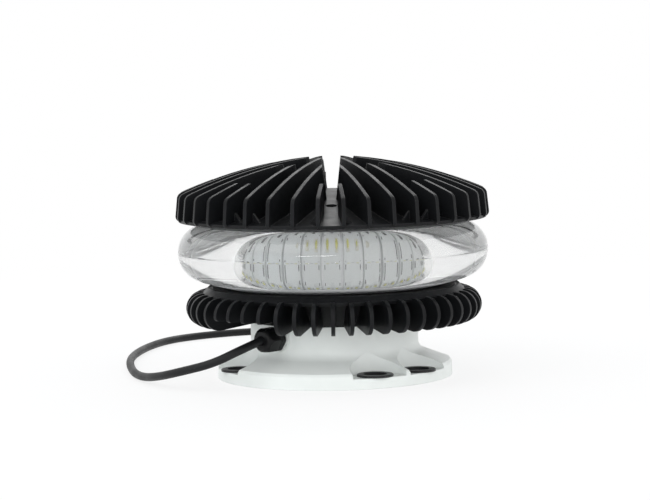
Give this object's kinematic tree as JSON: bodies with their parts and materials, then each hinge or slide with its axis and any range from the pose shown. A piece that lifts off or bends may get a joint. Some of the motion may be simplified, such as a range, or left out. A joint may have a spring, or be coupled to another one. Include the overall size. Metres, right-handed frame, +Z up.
{
  "type": "marine navigation lantern",
  "caption": "Navigation lantern with a flanged base, two finned heat sinks, a clear ring lens round a faceted LED core, and a supply cable that leaves a gland",
  "frame": {"origin": "centre of the mounting flange's underside, on the lantern's vertical axis", "axes": "+Z is up along the lantern's axis, the front in the picture is -Y, +X is to the right seen from the front"},
  "size_m": [0.368, 0.4945, 0.2134],
  "materials": {
    "base_coat": "white polyester powder coat, satin",
    "heatsink_coat": "black anodised and coated casting, satin",
    "clear_lens": "clear acrylic, polished",
    "bush": "black nylon",
    "seal": "black silicone rubber",
    "stainless": "stainless steel, plain",
    "core_metal": "machined aluminium, satin",
    "pad": "grey thermal pad",
    "led_board": "white solder mask",
    "led": "yellow phosphor",
    "driver_board": "green solder mask",
    "capacitor": "dark sleeve",
    "inductor": "varnished winding",
    "chip": "black moulding",
    "terminal": "green moulding",
    "core_sleeve": "insulated cores",
    "ferrule": "tinned copper",
    "gland": "black polyamide, satin",
    "cable_jacket": "dark grey flexible jacket, satin",
    "tie": "black nylon band"
  },
  "bodies": {
    "lantern": {"base_casting": "base_coat", "mounting_bushes": "bush", "base_screws": "stainless", "base_washers": "stainless", "column_seal": "seal", "lower_heatsink": "heatsink_coat", "lower_lens_gasket": "seal", "lens": "clear_lens", "upper_lens_gasket": "seal", "top_heatsink": "heatsink_coat", "tie_screws": "stainless", "led_core": "core_metal", "thermal_pads": "pad", "led_boards": "led_board", "leds": "led", "driver_board": "driver_board", "board_standoffs": "stainless", "board_screws": "stainless", "driver_capacitors": "capacitor", "driver_inductors": "inductor", "driver_chips": "chip", "terminal_block": "terminal", "supply_cores": "core_sleeve", "led_leads": "core_sleeve", "gland_washer": "seal", "gland_body": "gland", "gland_seal": "seal", "gland_locknut": "gland", "cable_entry": "cable_jacket", "cable": "cable_jacket", "cable_coil": "cable_jacket", "coil_ties": "tie", "cable_tail": "cable_jacket", "end_cores": "core_sleeve", "end_ferrules": "ferrule"},
    "gland_nut": {"gland_nut": "gland"}
  },
  "joints": [
    {"name": "gland_nut_turn", "type": "hinge", "parent": "lantern", "child": "gland_nut", "pos_m": [-0.06299, -0.07507, 0.0438], "axis": [-0.6428, -0.766, 0], "range_deg": [0, 360]}
  ]
}
